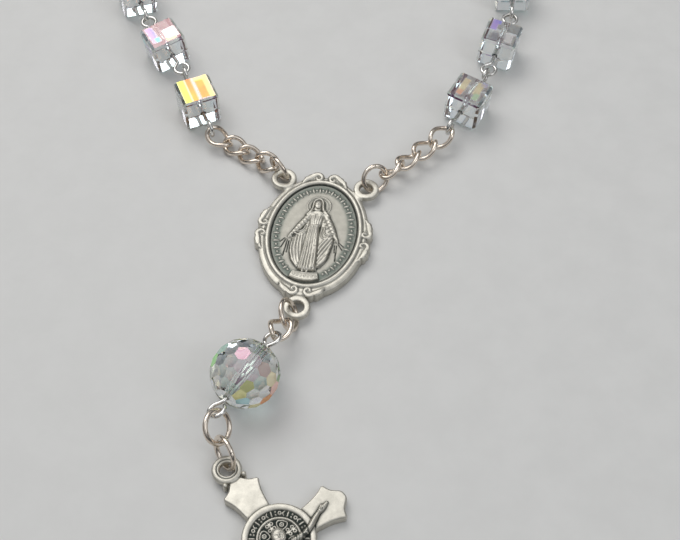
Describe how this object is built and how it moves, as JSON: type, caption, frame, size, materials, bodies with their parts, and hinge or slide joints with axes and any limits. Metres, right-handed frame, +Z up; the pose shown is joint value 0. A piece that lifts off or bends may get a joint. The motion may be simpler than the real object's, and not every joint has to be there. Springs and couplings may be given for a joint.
{
  "type": "rosary",
  "caption": "One-decade rosary: oval centre medal, two strands of cube beads closed by a clasp, and a pendant with a round bead and a crucifix.",
  "frame": {"origin": "centre of the medal's flat back, on the table the rosary lies on", "axes": "+Z up out of the table and out of the medal's face, +Y towards the top of the medal and the clasp, +X to the medal's right seen from above"},
  "size_m": [0.0788, 0.165, 0.01],
  "materials": {
    "medal": "antiqued silver-tone casting with dark recesses",
    "jump_l": "polished nickel wire, slightly warm",
    "link_l1": "polished nickel wire, slightly warm",
    "link_l2": "polished nickel wire, slightly warm",
    "link_l3": "polished nickel wire, slightly warm",
    "link_l4": "polished nickel wire, slightly warm",
    "pin_l1": "bright silver wire",
    "cube_l1": "clear cut crystal with a rainbow coating",
    "pin_l2": "bright silver wire",
    "cube_l2": "clear cut crystal with a rainbow coating",
    "pin_l3": "bright silver wire",
    "cube_l3": "clear cut crystal with a rainbow coating",
    "pin_l4": "bright silver wire",
    "cube_l4": "clear cut crystal with a rainbow coating",
    "pin_l5": "bright silver wire",
    "cube_l5": "clear cut crystal with a rainbow coating",
    "top_l1": "polished nickel wire, slightly warm",
    "top_l2": "polished nickel wire, slightly warm",
    "top_l3": "polished nickel wire, slightly warm",
    "top_l4": "polished nickel wire, slightly warm",
    "top_l5": "polished nickel wire, slightly warm",
    "top_l6": "polished nickel wire, slightly warm",
    "jump_r": "polished nickel wire, slightly warm",
    "link_r1": "polished nickel wire, slightly warm",
    "link_r2": "polished nickel wire, slightly warm",
    "link_r3": "polished nickel wire, slightly warm",
    "link_r4": "polished nickel wire, slightly warm",
    "pin_r1": "bright silver wire",
    "cube_r1": "clear cut crystal with a rainbow coating",
    "pin_r2": "bright silver wire",
    "cube_r2": "clear cut crystal with a rainbow coating",
    "pin_r3": "bright silver wire",
    "cube_r3": "clear cut crystal with a rainbow coating",
    "pin_r4": "bright silver wire",
    "cube_r4": "clear cut crystal with a rainbow coating",
    "pin_r5": "bright silver wire",
    "cube_r5": "clear cut crystal with a rainbow coating",
    "top_r1": "polished nickel wire, slightly warm",
    "top_r2": "polished nickel wire, slightly warm",
    "top_r3": "polished nickel wire, slightly warm",
    "top_r4": "polished nickel wire, slightly warm",
    "top_r5": "polished nickel wire, slightly warm",
    "top_r6": "polished nickel wire, slightly warm",
    "clasp_ring": "polished nickel wire, slightly warm",
    "clasp_body": "antiqued silver-tone casting with dark recesses",
    "clasp_lever": "antiqued silver-tone casting with dark recesses",
    "end_ring": "polished nickel wire, slightly warm",
    "jump_a": "polished nickel wire, slightly warm",
    "link_b": "polished nickel wire, slightly warm",
    "pin_round": "bright silver wire",
    "round_bead": "clear cut crystal with a rainbow coating",
    "ring_d": "polished nickel wire, slightly warm",
    "ring_e": "polished nickel wire, slightly warm",
    "crucifix": "antiqued silver-tone casting with dark recesses",
    "clasp_rivet": "antiqued silver-tone casting with dark recesses"
  },
  "bodies": {
    "medal": {"medal": "medal"},
    "jump_l": {"jump_l": "jump_l"},
    "link_l1": {"link_l1": "link_l1"},
    "link_l2": {"link_l2": "link_l2"},
    "link_l3": {"link_l3": "link_l3"},
    "link_l4": {"link_l4": "link_l4"},
    "pin_l1": {"pin_l1": "pin_l1"},
    "cube_l1": {"cube_l1": "cube_l1"},
    "pin_l2": {"pin_l2": "pin_l2"},
    "cube_l2": {"cube_l2": "cube_l2"},
    "pin_l3": {"pin_l3": "pin_l3"},
    "cube_l3": {"cube_l3": "cube_l3"},
    "pin_l4": {"pin_l4": "pin_l4"},
    "cube_l4": {"cube_l4": "cube_l4"},
    "pin_l5": {"pin_l5": "pin_l5"},
    "cube_l5": {"cube_l5": "cube_l5"},
    "top_l1": {"top_l1": "top_l1"},
    "top_l2": {"top_l2": "top_l2"},
    "top_l3": {"top_l3": "top_l3"},
    "top_l4": {"top_l4": "top_l4"},
    "top_l5": {"top_l5": "top_l5"},
    "top_l6": {"top_l6": "top_l6"},
    "jump_r": {"jump_r": "jump_r"},
    "link_r1": {"link_r1": "link_r1"},
    "link_r2": {"link_r2": "link_r2"},
    "link_r3": {"link_r3": "link_r3"},
    "link_r4": {"link_r4": "link_r4"},
    "pin_r1": {"pin_r1": "pin_r1"},
    "cube_r1": {"cube_r1": "cube_r1"},
    "pin_r2": {"pin_r2": "pin_r2"},
    "cube_r2": {"cube_r2": "cube_r2"},
    "pin_r3": {"pin_r3": "pin_r3"},
    "cube_r3": {"cube_r3": "cube_r3"},
    "pin_r4": {"pin_r4": "pin_r4"},
    "cube_r4": {"cube_r4": "cube_r4"},
    "pin_r5": {"pin_r5": "pin_r5"},
    "cube_r5": {"cube_r5": "cube_r5"},
    "top_r1": {"top_r1": "top_r1"},
    "top_r2": {"top_r2": "top_r2"},
    "top_r3": {"top_r3": "top_r3"},
    "top_r4": {"top_r4": "top_r4"},
    "top_r5": {"top_r5": "top_r5"},
    "top_r6": {"top_r6": "top_r6"},
    "clasp_ring": {"clasp_ring": "clasp_ring"},
    "clasp_body": {"clasp_body": "clasp_body", "clasp_rivet": "clasp_rivet"},
    "clasp_lever": {"clasp_lever": "clasp_lever"},
    "end_ring": {"end_ring": "end_ring"},
    "jump_a": {"jump_a": "jump_a"},
    "link_b": {"link_b": "link_b"},
    "pin_round": {"pin_round": "pin_round"},
    "round_bead": {"round_bead": "round_bead"},
    "ring_d": {"ring_d": "ring_d"},
    "ring_e": {"ring_e": "ring_e"},
    "crucifix": {"crucifix": "crucifix"}
  },
  "joints": [
    {"name": "jump_l_hinge", "type": "hinge", "parent": "medal", "child": "jump_l", "pos_m": [-0.00654, 0.0108, 0.00197], "axis": [0.6947, 0.7193, 0], "range_deg": [-7, 0]},
    {"name": "link_l1_hinge", "type": "hinge", "parent": "jump_l", "child": "link_l1", "pos_m": [-0.00867, 0.01229, 0.00214], "axis": [0, 0, 1], "range_deg": [-1, 7]},
    {"name": "link_l2_hinge", "type": "hinge", "parent": "link_l1", "child": "link_l2", "pos_m": [-0.01152, 0.01371, 0.00113], "axis": [0.3746, 0.9272, 0], "range_deg": [-20, 20]},
    {"name": "link_l3_hinge", "type": "hinge", "parent": "link_l2", "child": "link_l3", "pos_m": [-0.01448, 0.01512, 0.00092], "axis": [0, 0, -1], "range_deg": [-30, 1]},
    {"name": "link_l4_hinge", "type": "hinge", "parent": "link_l3", "child": "link_l4", "pos_m": [-0.0174, 0.01654, 0.001], "axis": [-0.1219, -0.9925, 0], "range_deg": [-13, 20]},
    {"name": "pin_l1_hinge", "type": "hinge", "parent": "link_l4", "child": "pin_l1", "pos_m": [-0.01995, 0.01648, 0.00325], "axis": [0, 0, 1], "range_deg": [-1, 13]},
    {"name": "cube_l1_spin", "type": "hinge", "parent": "pin_l1", "child": "cube_l1", "pos_m": [-0.0239, 0.0228, 0.00325], "axis": [-0.5299, 0.848, 0], "continuous": true},
    {"name": "pin_l2_hinge", "type": "hinge", "parent": "pin_l1", "child": "pin_l2", "pos_m": [-0.02785, 0.02912, 0.00325], "axis": [0.766, 0.6428, 0], "range_deg": [-20, 20]},
    {"name": "cube_l2_spin", "type": "hinge", "parent": "pin_l2", "child": "cube_l2", "pos_m": [-0.03264, 0.03483, 0.00325], "axis": [-0.6428, 0.766, 0], "continuous": true},
    {"name": "pin_l3_hinge", "type": "hinge", "parent": "pin_l2", "child": "pin_l3", "pos_m": [-0.03742, 0.04053, 0.00325], "axis": [0, 0, -1], "range_deg": [-30, 1]},
    {"name": "cube_l3_spin", "type": "hinge", "parent": "pin_l3", "child": "cube_l3", "pos_m": [-0.04115, 0.04698, 0.00325], "axis": [-0.5, 0.866, 0], "continuous": true},
    {"name": "pin_l4_hinge", "type": "hinge", "parent": "pin_l3", "child": "pin_l4", "pos_m": [-0.04487, 0.05344, 0.00325], "axis": [-0.9848, -0.1736, 0], "range_deg": [-20, 20]},
    {"name": "cube_l4_spin", "type": "hinge", "parent": "pin_l4", "child": "cube_l4", "pos_m": [-0.04617, 0.06077, 0.00325], "axis": [-0.1736, 0.9848, 0], "continuous": true},
    {"name": "pin_l5_hinge", "type": "hinge", "parent": "pin_l4", "child": "pin_l5", "pos_m": [-0.04746, 0.06811, 0.00325], "axis": [0, 0, 1], "range_deg": [-3, 30]},
    {"name": "cube_l5_spin", "type": "hinge", "parent": "pin_l5", "child": "cube_l5", "pos_m": [-0.04591, 0.0754, 0.00325], "axis": [0.2079, 0.9781, 0], "continuous": true},
    {"name": "top_l1_hinge", "type": "hinge", "parent": "pin_l5", "child": "top_l1", "pos_m": [-0.04442, 0.08258, 0.00329], "axis": [0.8988, -0.4384, 0], "range_deg": [-20, 20]},
    {"name": "top_l2_hinge", "type": "hinge", "parent": "top_l1", "child": "top_l2", "pos_m": [-0.04294, 0.08561, 0.00219], "axis": [0, 0, 1], "range_deg": [-9, 25]},
    {"name": "top_l3_hinge", "type": "hinge", "parent": "top_l2", "child": "top_l3", "pos_m": [-0.04085, 0.08838, 0.00152], "axis": [-0.682, 0.7314, 0], "range_deg": [-7, 20]},
    {"name": "top_l4_hinge", "type": "hinge", "parent": "top_l3", "child": "top_l4", "pos_m": [-0.03827, 0.09079, 0.00121], "axis": [0, 0, -1], "range_deg": [-25, 11]},
    {"name": "top_l5_hinge", "type": "hinge", "parent": "top_l4", "child": "top_l5", "pos_m": [-0.03533, 0.09277, 0.00121], "axis": [0.4384, -0.8988, 0], "range_deg": [-20, 7]},
    {"name": "top_l6_hinge", "type": "hinge", "parent": "top_l5", "child": "top_l6", "pos_m": [-0.03215, 0.09432, 0.00121], "axis": [0, 0, 1], "range_deg": [-3, 11]},
    {"name": "jump_r_hinge", "type": "hinge", "parent": "medal", "child": "jump_r", "pos_m": [0.00692, 0.01115, 0.00148], "axis": [0.7071, -0.7071, 0], "range_deg": [-20, 0]},
    {"name": "link_r1_hinge", "type": "hinge", "parent": "jump_r", "child": "link_r1", "pos_m": [0.0091, 0.01314, 0.00237], "axis": [0, 0, -1], "range_deg": [-3, 25]},
    {"name": "link_r2_hinge", "type": "hinge", "parent": "link_r1", "child": "link_r2", "pos_m": [0.0115, 0.0157, 0.00208], "axis": [0.7547, -0.6561, 0], "range_deg": [-20, 20]},
    {"name": "link_r3_hinge", "type": "hinge", "parent": "link_r2", "child": "link_r3", "pos_m": [0.01379, 0.01832, 0.00217], "axis": [0, 0, 1], "range_deg": [-30, 23]},
    {"name": "link_r4_hinge", "type": "hinge", "parent": "link_r3", "child": "link_r4", "pos_m": [0.01599, 0.02101, 0.00242], "axis": [-0.7314, 0.682, 0], "range_deg": [-20, 20]},
    {"name": "pin_r1_hinge", "type": "hinge", "parent": "link_r4", "child": "pin_r1", "pos_m": [0.0182, 0.0235, 0.00325], "axis": [0, 0, -1], "range_deg": [-19, 30]},
    {"name": "cube_r1_spin", "type": "hinge", "parent": "pin_r1", "child": "cube_r1", "pos_m": [0.02075, 0.0305, 0.00325], "axis": [0.342, 0.9397, 0], "continuous": true},
    {"name": "pin_r2_hinge", "type": "hinge", "parent": "pin_r1", "child": "pin_r2", "pos_m": [0.0233, 0.0375, 0.00325], "axis": [0.9816, -0.1908, 0], "range_deg": [-20, 20]},
    {"name": "cube_r2_spin", "type": "hinge", "parent": "pin_r2", "child": "cube_r2", "pos_m": [0.02472, 0.04481, 0.00325], "axis": [0.1908, 0.9816, 0], "continuous": true},
    {"name": "pin_r3_hinge", "type": "hinge", "parent": "pin_r2", "child": "pin_r3", "pos_m": [0.02614, 0.05213, 0.00325], "axis": [0, 0, 1], "range_deg": [-30, 11]},
    {"name": "cube_r3_spin", "type": "hinge", "parent": "pin_r3", "child": "cube_r3", "pos_m": [0.02575, 0.05957, 0.00325], "axis": [-0.0523, 0.9986, 0], "continuous": true},
    {"name": "pin_r4_hinge", "type": "hinge", "parent": "pin_r3", "child": "pin_r4", "pos_m": [0.02536, 0.06701, 0.00325], "axis": [-0.9336, -0.3584, 0], "range_deg": [-20, 20]},
    {"name": "cube_r4_spin", "type": "hinge", "parent": "pin_r4", "child": "cube_r4", "pos_m": [0.02269, 0.07396, 0.00325], "axis": [-0.3584, 0.9336, 0], "continuous": true},
    {"name": "pin_r5_hinge", "type": "hinge", "parent": "pin_r4", "child": "pin_r5", "pos_m": [0.02002, 0.08092, 0.00325], "axis": [0, 0, -1], "range_deg": [-5, 30]},
    {"name": "cube_r5_spin", "type": "hinge", "parent": "pin_r5", "child": "cube_r5", "pos_m": [0.01513, 0.08654, 0.00325], "axis": [-0.6561, 0.7547, 0], "continuous": true},
    {"name": "top_r1_hinge", "type": "hinge", "parent": "pin_r5", "child": "top_r1", "pos_m": [0.01034, 0.09209, 0.00329], "axis": [0.5878, 0.809, 0], "range_deg": [-20, 20]},
    {"name": "top_r2_hinge", "type": "hinge", "parent": "top_r1", "child": "top_r2", "pos_m": [0.00762, 0.09407, 0.00219], "axis": [0, 0, -1], "range_deg": [-3, 30]},
    {"name": "top_r3_hinge", "type": "hinge", "parent": "top_r2", "child": "top_r3", "pos_m": [0.00444, 0.09549, 0.00152], "axis": [-0.225, -0.9744, 0], "range_deg": [-7, 20]},
    {"name": "top_r4_hinge", "type": "hinge", "parent": "top_r3", "child": "top_r4", "pos_m": [0.001, 0.09628, 0.00121], "axis": [0, 0, 1], "range_deg": [-30, 7]},
    {"name": "top_r5_hinge", "type": "hinge", "parent": "top_r4", "child": "top_r5", "pos_m": [-0.00253, 0.09653, 0.00121], "axis": [-0.0523, 0.9986, 0], "range_deg": [-20, 9]},
    {"name": "top_r6_hinge", "type": "hinge", "parent": "top_r5", "child": "top_r6", "pos_m": [-0.00606, 0.09634, 0.00121], "axis": [0, 0, -1], "range_deg": [0, 13]},
    {"name": "clasp_ring_hinge", "type": "hinge", "parent": "top_l6", "child": "clasp_ring", "pos_m": [-0.02915, 0.09559, 0.0017], "axis": [0.1736, -0.9848, 0], "range_deg": [-20, 20]},
    {"name": "clasp_body_hinge", "type": "hinge", "parent": "clasp_ring", "child": "clasp_body", "pos_m": [-0.02734, 0.09565, 0.00125], "axis": [0, 0, 1], "range_deg": [-17, 15]},
    {"name": "clasp_lever_hinge", "type": "hinge", "parent": "clasp_body", "child": "clasp_lever", "pos_m": [-0.02323, 0.09709, 0.00125], "axis": [0, 0, -1], "range_deg": [0, 20], "stiffness_Nm_per_rad": 0.00001, "springref_deg": -5.73},
    {"name": "end_ring_hinge", "type": "hinge", "parent": "top_r6", "child": "end_ring", "pos_m": [-0.00926, 0.0958, 0.00176], "axis": [-0.2588, 0.9659, 0], "range_deg": [-20, 20]},
    {"name": "jump_a_hinge", "type": "hinge", "parent": "medal", "child": "jump_a", "pos_m": [-0.00029, -0.01454, 0.00147], "axis": [-0.9962, 0.0872, 0], "range_deg": [-20, 0]},
    {"name": "link_b_hinge", "type": "hinge", "parent": "jump_a", "child": "link_b", "pos_m": [-0.0009, -0.01765, 0.00312], "axis": [0, 0, 1], "range_deg": [-17, 25]},
    {"name": "pin_round_hinge", "type": "hinge", "parent": "link_b", "child": "pin_round", "pos_m": [-0.00169, -0.02084, 0.00445], "axis": [-0.9336, 0.3584, 0], "range_deg": [-20, 20]},
    {"name": "round_bead_spin", "type": "hinge", "parent": "pin_round", "child": "round_bead", "pos_m": [-0.0045, -0.02815, 0.005], "axis": [-0.3575, -0.9313, 0.0698], "continuous": true},
    {"name": "ring_d_hinge", "type": "hinge", "parent": "pin_round", "child": "ring_d", "pos_m": [-0.00705, -0.03528, 0.00555], "axis": [0, 0, -1], "range_deg": [-30, 17]},
    {"name": "ring_e_hinge", "type": "hinge", "parent": "ring_d", "child": "ring_e", "pos_m": [-0.00638, -0.03841, 0.00351], "axis": [-0.866, -0.5, 0], "range_deg": [-20, 20]},
    {"name": "crucifix_hinge", "type": "hinge", "parent": "ring_e", "child": "crucifix", "pos_m": [-0.0055, -0.04028, 0.0013], "axis": [0, 0, 1], "range_deg": [-1, 30]}
  ]
}
